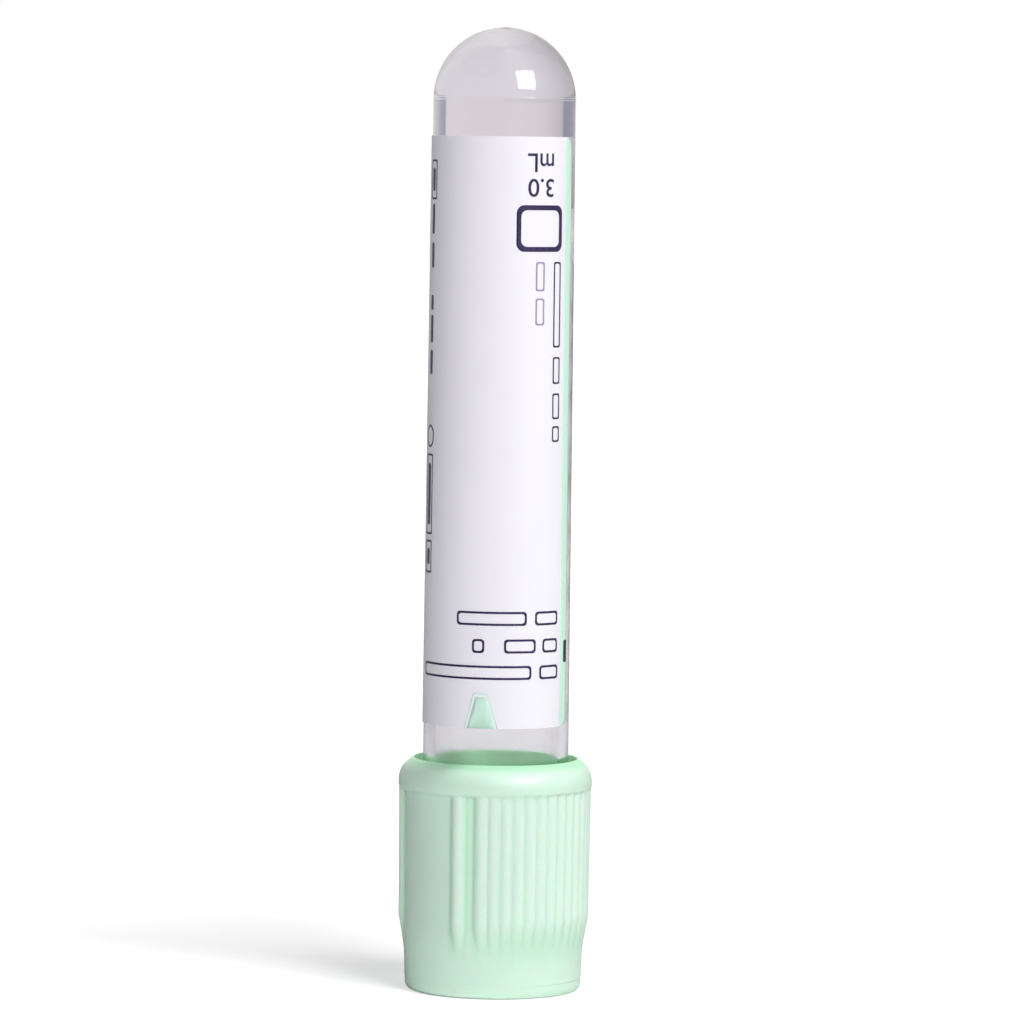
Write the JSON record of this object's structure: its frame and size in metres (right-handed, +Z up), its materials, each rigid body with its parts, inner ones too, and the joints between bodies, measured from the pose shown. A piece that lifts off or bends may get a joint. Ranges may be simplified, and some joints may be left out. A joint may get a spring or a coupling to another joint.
{
  "type": "blood collection tube",
  "caption": "Clear round-ended plastic tube with separator gel and a wrapped label, closed by a ribbed pull-off safety closure.",
  "frame": {"origin": "centre of the closure's flat end face, on which the tube stands upside down", "axes": "+Z up along the tube's axis to its round end, -Y towards the label's front, +X to the right of it"},
  "size_m": [0.0166, 0.0166, 0.0828],
  "materials": {
    "tube": "clear, polished PET",
    "separator_gel": "translucent gel",
    "label": "satin white film",
    "stopper": "matt moulded rubber",
    "closure_shield": "satin moulded plastic"
  },
  "bodies": {
    "closure": {"closure_shield": "closure_shield", "stopper": "stopper"},
    "filled_tube": {"tube": "tube", "separator_gel": "separator_gel", "label": "label"}
  },
  "joints": [
    {"name": "closure_pull", "type": "slide", "parent": "closure", "child": "filled_tube", "axis": [0, 0, 1], "range_m": [0, 0.015]}
  ]
}
